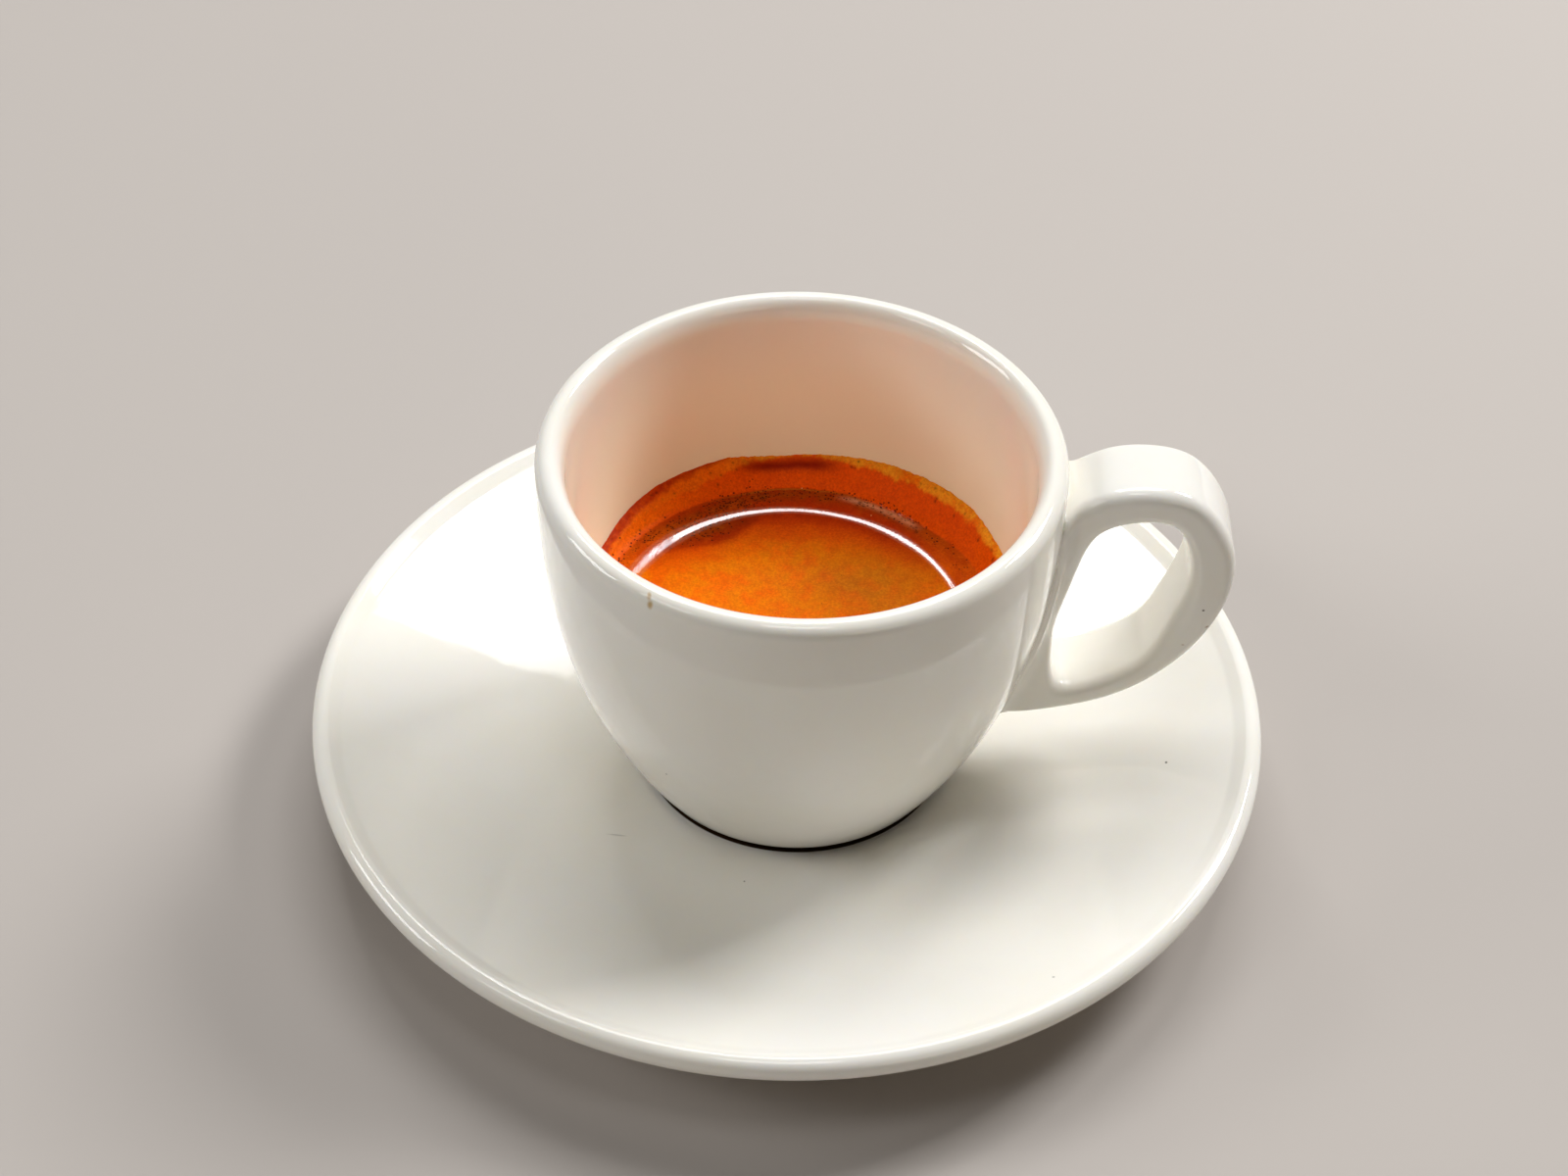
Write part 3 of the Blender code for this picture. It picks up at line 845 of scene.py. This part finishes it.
def crema_mesh(f, height):
    """The foam as a closed mesh: its middle, the grid, then a hidden flat underside."""
    rings, count = f["radius"].shape
    points = [(CUP_OFFSET_X, 0.0, CREMA_LEVEL)]
    points += list(zip((f["x"] + CUP_OFFSET_X).ravel(), f["y"].ravel(), height.ravel()))
    low = CREMA_LEVEL - CREMA_THICKNESS
    reach = float(cavity_radius(low)) + CREMA_INTO_WALL
    bearings = f["bearing"][0]
    points += [(CUP_OFFSET_X + reach * math.cos(b), reach * math.sin(b), low) for b in bearings]
    points.append((CUP_OFFSET_X, 0.0, low))
    faces = []
    for i in range(count):
        j = (i + 1) % count
        faces.append((0, 1 + i, 1 + j))
        for ring in range(rings):
            near, far = 1 + ring * count, 1 + (ring + 1) * count
            faces.append((near + i, far + i, far + j, near + j))
        under = 1 + rings * count
        faces.append((under + count, under + j, under + i))
    made = mesh_object("crema_foam", points, faces)
    facing_out(made)
    return made


def point_values(mesh, name, values, hidden):
    """Stores one number a point on the mesh: 0 for the middle, the grid's, and 0 for the underside."""
    layer = mesh.attributes.new(name, "FLOAT", "POINT")
    filled = np.concatenate(([0.0], values.ravel(), np.zeros(hidden)))
    layer.data.foreach_set("value", filled.astype(np.float32))


def point_colours(mesh, name, colour, hidden):
    """Stores a colour a point on the mesh, in the same order."""
    layer = mesh.attributes.new(name, "FLOAT_COLOR", "POINT")
    middle = np.array([[*linear(*POOL_ORANGE), 1.0]])
    grid = np.dstack((colour, np.ones(colour.shape[:2]))).reshape(-1, 4)
    under = np.tile([*linear(*BAND_DARK), 1.0], (hidden, 1))
    painted = np.concatenate((middle, grid, under))
    layer.data.foreach_set("color", painted.astype(np.float32).ravel())


def crema_piece():
    """The foam's mesh with the colours and shares that its material reads."""
    f = crema_fields()
    f["froth"] = froth_share(f)
    f["fold"] = fold_share(f)
    f["patch"] = highlight_patch_share(f)
    f["pits"] = pit_share(f)
    made = crema_mesh(f, crema_height(f))
    hidden = len(made.data.vertices) - 1 - f["radius"].size
    point_colours(made.data, "foam_colour", crema_colour(f), hidden)
    for name, values in foam_shares(f).items():
        point_values(made.data, name, values, hidden)
    return made


class Surface:
    """A material's node tree with short calls to add and join nodes."""

    def __init__(self, name):
        self.material = bpy.data.materials.new(name)
        self.material.use_nodes = True
        self.tree = self.material.node_tree
        self.shader = self.tree.nodes["Principled BSDF"]

    def node(self, kind, settings=None, **inputs):
        """Adds a node, with its own properties as settings.

        An input is a value or a socket, and goes by its name, or by i and its number.
        """
        made = self.tree.nodes.new(kind)
        for key, value in (settings or {}).items():
            setattr(made, key, value)
        for key, value in inputs.items():
            by_number = key[0] == "i" and key[1:].isdigit()
            self.set(made.inputs[int(key[1:]) if by_number else key], value)
        return made

    def set(self, socket, value):
        """Links a socket to an input, or gives the input a value."""
        if isinstance(value, bpy.types.NodeSocket):
            self.tree.links.new(value, socket)
        else:
            socket.default_value = value

    def principled(self, **inputs):
        """Sets inputs of the shader, whose names have _ for a space here."""
        for key, value in inputs.items():
            self.set(self.shader.inputs[key.replace("_", " ")], value)

    def place(self):
        """Where a point lies on the piece, in metres."""
        return self.node("ShaderNodeTexCoord").outputs["Object"]

    def noise(self, size, detail, rough=0.5):
        """Noise from 0 to 1 with features of that size in metres."""
        made = self.node(
            "ShaderNodeTexNoise", Scale=1 / size, Detail=detail, Roughness=rough,
            Vector=self.place(),
        )
        return made.outputs["Fac"]

    def remap(self, value, low, high, start=0.0, end=1.0):
        """Carries the range from low to high over to the one from start to end, and no further."""
        made = self.node("ShaderNodeMapRange", i0=value, i1=low, i2=high, i3=start, i4=end)
        return made.outputs["Result"]

    def math(self, operation, first, second):
        """The result of a sum on two values or sockets."""
        return self.node("ShaderNodeMath", {"operation": operation}, i0=first, i1=second).outputs[0]

    def mix(self, share, first, second, kind="MIX"):
        """Mixes two colours, each given as linear values or as a socket."""
        made = self.node("ShaderNodeMix", {"data_type": "RGBA", "blend_type": kind})
        self.set(made.inputs[0], share)
        for socket, colour in ((made.inputs[6], first), (made.inputs[7], second)):
            self.set(socket, colour if isinstance(colour, bpy.types.NodeSocket) else (*colour, 1))
        return made.outputs[2]

    def attribute(self, name, output="Fac"):
        """What the mesh stores under that name."""
        return self.node("ShaderNodeAttribute", {"attribute_name": name}).outputs[output]

    def dots(self, spacing, radius, share):
        """1 inside small round dots, one in each cell of that spacing. Share says how many are kept."""
        cells = self.node(
            "ShaderNodeTexVoronoi", Scale=1 / spacing, Randomness=1.0, Vector=self.place()
        )
        dot = self.remap(cells.outputs["Distance"], radius / spacing, 0.6 * radius / spacing)
        chosen = self.node("ShaderNodeSeparateColor", i0=cells.outputs["Color"]).outputs[0]
        return self.math("MULTIPLY", dot, self.math("LESS_THAN", chosen, share))

    def bump(self, height, strength, distance):
        """Normals as if the surface rose by the height."""
        made = self.node("ShaderNodeBump", Strength=strength, Distance=distance, Height=height)
        return made.outputs["Normal"]


def from_axis(look):
    """Distance from the cup's axis, and height."""
    place = look.node("ShaderNodeSeparateXYZ", i0=look.place()).outputs
    across = look.math("SUBTRACT", place[0], CUP_OFFSET_X)
    away = look.math("ADD", look.math("POWER", across, 2.0), look.math("POWER", place[1], 2.0))
    return look.math("SQRT", away, 0.0), place[2]


def inside_glow_share(look):
    """1 on the cup's inner wall above the drink, where a warm glow is painted for the light that the
    crema throws back: strongest low down, and 0 elsewhere.
    """
    away, height = from_axis(look)
    wall = CUP_RIM_RADIUS - 2 * CUP_LIP_ROUND
    inner = look.remap(away, wall + 0.4 * CUP_LIP_ROUND, wall)
    low = look.remap(height, CUP_LIP_CENTRE + 0.003, CREMA_LEVEL + 0.004)
    above = look.remap(height, CREMA_LEVEL - 0.002, CREMA_LEVEL - 0.001)
    return look.math("MULTIPLY", look.math("MULTIPLY", inner, low), above)


def painted_foot_shadow(look):
    """1 on the painted contact shadow, a dark line round the cup's foot."""
    height = look.node("ShaderNodeSeparateXYZ", i0=look.place()).outputs[2]
    end, full = (CUP_BASE + share * CUP_FOOT_ROUND for share in FOOT_SHADOW_FADE)
    return look.remap(height, end, full)


def painted_seat_shadow(look):
    """1 on the painted contact shadow, a dark ring of the saucer under and round the cup's foot."""
    away, height = from_axis(look)
    outer = look.remap(away, CUP_FOOT_RADIUS + SEAT_SHADOW_WIDTH, CUP_FOOT_RADIUS + 0.5 * SEAT_SHADOW_WIDTH)
    inner = look.remap(away, CUP_FOOT_INNER, CUP_FOOT_INNER + SEAT_SHADOW_WIDTH)
    above = look.remap(height, SAUCER_FOOT_HOLLOW, SAUCER_SEAT_HEIGHT - SEAT_SHADOW_WIDTH)
    return look.math("MULTIPLY", look.math("MULTIPLY", inner, outer), above)


def marked(look, colour, marks):
    """Lays small soft marks over a colour. Each is a place, its half sizes, a colour and a share."""
    for place, sizes, tone, share in marks:
        off = look.node("ShaderNodeVectorMath", {"operation": "SUBTRACT"}, i0=look.place(), i1=place)
        scaled = look.node(
            "ShaderNodeVectorMath", {"operation": "DIVIDE"}, i0=off.outputs[0], i1=sizes
        )
        reach = look.node("ShaderNodeVectorMath", {"operation": "LENGTH"}, i0=scaled.outputs[0])
        inside = look.remap(reach.outputs["Value"], 1.0, 0.35, 0.0, share)
        colour = look.mix(inside, colour, linear(*tone))
    return colour


def glaze(name, marks, cup=False):
    """Warm white porcelain under a clear glaze, hardly uneven in colour and shine.

    A cup also has a painted warm glow on its inner wall above the drink, for the light that the crema
    throws back, and a painted contact shadow as a dark line round its foot; a saucer has a painted
    contact shadow as a dark ring where the foot stands.
    """
    look = Surface(name)
    cloud = look.remap(look.noise(GLAZE_CLOUD_SIZE, 4.0), 0.35, 0.65)
    fine = look.remap(look.noise(GLAZE_GRAIN_SIZE, 2.0), 0.3, 0.7)
    body = look.mix(cloud, linear(*GLAZE_WARM), linear(*GLAZE_WHITE))
    body = look.mix(look.math("MULTIPLY", fine, 0.04), body, linear(*GLAZE_SHADE))
    if cup:
        # Painted warm glow on the inner wall above the drink
        body = look.mix(inside_glow_share(look), body, linear(*GLAZE_PAINTED_GLOW))
        # Painted contact shadow: a dark line round the foot
        body = look.mix(painted_foot_shadow(look), body, linear(*FOOT_SHADOW_PAINT))
    else:
        # Painted contact shadow: a dark ring where the cup's foot stands
        body = look.mix(painted_seat_shadow(look), body, linear(*FOOT_SHADOW_PAINT))
    body = marked(look, body, marks)
    shine = look.noise(GLAZE_SHINE_SIZE, 3.0)
    ripple = look.noise(GLAZE_RIPPLE_SIZE, 2.0)
    look.principled(
        Base_Color=body, Roughness=look.remap(shine, 0.3, 0.7, *GLAZE_ROUGHNESS),
        IOR=GLAZE_IOR, Normal=look.bump(ripple, *GLAZE_RIPPLE),
        Subsurface_Weight=0.3, Subsurface_Radius=PORCELAIN_SPREAD,
        Subsurface_Scale=PORCELAIN_DEPTH,
    )
    return look.material


def foam_colour(look, fine):
    """The foam's colour: the broad one of the mesh, its grain and clouds, then bubbles and specks."""
    colour = look.attribute("foam_colour", "Color")
    grain = look.remap(look.noise(FOAM_GRAIN_SIZE, 3.0, rough=0.6), 0.32, 0.68)
    colour = look.mix(0.5, colour, look.mix(grain, *GRAIN_TINTS), "MULTIPLY")
    cloud = look.remap(look.noise(FOAM_CLOUD_SIZE, 3.0, rough=0.6), 0.35, 0.65)
    colour = look.mix(0.4, colour, look.mix(cloud, *CLOUD_TINTS), "MULTIPLY")
    pale = look.dots(*PALE_BUBBLES, look.math("MULTIPLY", look.attribute("bubbly"), 0.35))
    specks = look.dots(*SPECKS, 0.40)
    glints = look.dots(*GLINTS, look.math("MULTIPLY", look.attribute("sparkle"), 0.45))
    for share, strength, tone in (
        (fine, 0.92, BUBBLE_DARK), (pale, 0.5, TAN_LINE), (specks, 0.65, BUBBLE_DARK),
        (glints, 1.0, SPARKLE), (look.attribute("pits"), 0.8, BUBBLE_DARK),
    ):
        colour = look.mix(look.math("MULTIPLY", share, strength), colour, linear(*tone))
    return colour


def streaked(look):
    """Fine streaks across the step, which break up its bright line."""
    around = look.math("MULTIPLY", look.attribute("around"), STEP_STREAKS_PER_MM)
    place = look.node(
        "ShaderNodeCombineXYZ", i0=around, i1=look.attribute("outwards"), i2=0.0
    ).outputs[0]
    streaks = look.node("ShaderNodeTexNoise", Scale=1.0, Detail=2.0, Vector=place).outputs["Fac"]
    return look.math("MULTIPLY", streaks, look.attribute("hatch"))


def foam(name):
    """Fine wet foam. Its broad colours come with the mesh, and its grain and bubbles from here."""
    look = Surface(name)
    fine = look.dots(*FINE_BUBBLES, look.attribute("bubbly"))
    dry = look.attribute("dry")
    rough = look.remap(dry, 0.0, 1.0, 0.15, 1.0)
    foamy = look.math("MULTIPLY", look.noise(FOAM_RELIEF_SIZE, 3.0), rough)
    relief = look.math("ADD", foamy, look.math("MULTIPLY", fine, -0.6))
    look.principled(
        Base_Color=foam_colour(look, fine),
        Roughness=look.remap(dry, 0.0, 1.0, *FOAM_ROUGHNESS), IOR=FOAM_IOR,
        Specular_IOR_Level=0.06, Normal=look.bump(relief, *FOAM_RELIEF),
        Coat_Weight=look.attribute("wet"), Coat_Roughness=0.03, Coat_IOR=STEP_IOR,
        Coat_Normal=look.bump(streaked(look), *STEP_STREAKS),
    )
    return look.material


def liquid(name):
    """Very dark brown coffee."""
    look = Surface(name)
    cloud = look.remap(look.noise(COFFEE_CLOUD_SIZE, 3.0), 0.3, 0.7)
    shine = look.noise(COFFEE_SHINE_SIZE, 2.0)
    look.principled(
        Base_Color=look.mix(cloud, linear(*COFFEE_DARK), linear(*COFFEE_BROWN)),
        Roughness=look.remap(shine, 0.3, 0.7, *COFFEE_ROUGHNESS), IOR=COFFEE_IOR,
    )
    return look.material


def dress(piece, surface, node):
    """Gives a piece its material and lets it stand for a node of the model."""
    piece.data.materials.clear()
    piece.data.materials.append(surface)
    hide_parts(node)
    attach(piece, "root")


def floor():
    """A plain pale floor."""
    made = mesh_object("floor", [(-2, -2, 0), (2, -2, 0), (2, 2, 0), (-2, 2, 0)], [(0, 1, 2, 3)])
    surface = bpy.data.materials.new("floor")
    surface.use_nodes = True
    shader = surface.node_tree.nodes["Principled BSDF"]
    shader.inputs["Base Color"].default_value = (*linear(*FLOOR_TONE), 1)
    shader.inputs["Roughness"].default_value = 0.8
    made.data.materials.append(surface)


def softbox(name, bearing, height, width, depth, power, tint):
    """An area light on a sphere round the cup, facing it. Angles are in degrees."""
    turn, up = math.radians(bearing), math.radians(height)
    away = Vector((math.cos(up) * math.cos(turn), math.cos(up) * math.sin(turn), math.sin(up)))
    lamp = bpy.data.lights.new(name, "AREA")
    lamp.shape = "RECTANGLE"
    lamp.size, lamp.size_y = width, depth
    lamp.energy = power
    lamp.color = tint
    made = bpy.data.objects.new(name, lamp)
    made.location = away * LIGHT_DISTANCE + Vector(LIGHT_AIM)
    made.rotation_euler = away.to_track_quat("Z", "Y").to_euler()
    bpy.context.scene.collection.objects.link(made)


def lights():
    """A dim warm room and the soft lights in it."""
    world = bpy.data.worlds.new("room")
    world.use_nodes = True
    background = world.node_tree.nodes["Background"]
    background.inputs["Color"].default_value = (*ROOM_LIGHT, 1)
    background.inputs["Strength"].default_value = ROOM_STRENGTH
    bpy.context.scene.world = world
    for light in LIGHTS:
        softbox(*light)


def camera():
    """The camera, where it stood for the photograph."""
    lens = bpy.data.cameras.new("camera")
    lens.sensor_width = CAMERA_SENSOR
    lens.lens = CAMERA_LENS
    lens.clip_start = 0.01
    made = bpy.data.objects.new("camera", lens)
    turn = Matrix.Rotation(CAMERA_TURN, 4, "Z")
    tilt = Matrix.Rotation(math.pi / 2 - CAMERA_DOWN, 4, "X")
    roll = Matrix.Rotation(CAMERA_ROLL, 4, "Z")
    made.matrix_world = Matrix.Translation(CAMERA_AT) @ turn @ tilt @ roll
    bpy.context.scene.collection.objects.link(made)
    bpy.context.scene.camera = made


camera()
floor()
lights()
bpy.context.scene.view_settings.view_transform = "Standard"
saucer = turned("saucer_dish", saucer_outline(), SAUCER_STEPS)
facing_out(saucer)
dress(saucer, glaze("saucer_glaze", SAUCER_MARKS), "saucer")
dress(cup_piece(), glaze("cup_glaze", CUP_MARKS, cup=True), "cup")
dress(crema_piece(), foam("crema_foam"), "crema")
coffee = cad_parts["coffee"]
coffee.data.materials.clear()
coffee.data.materials.append(liquid("coffee_liquid"))
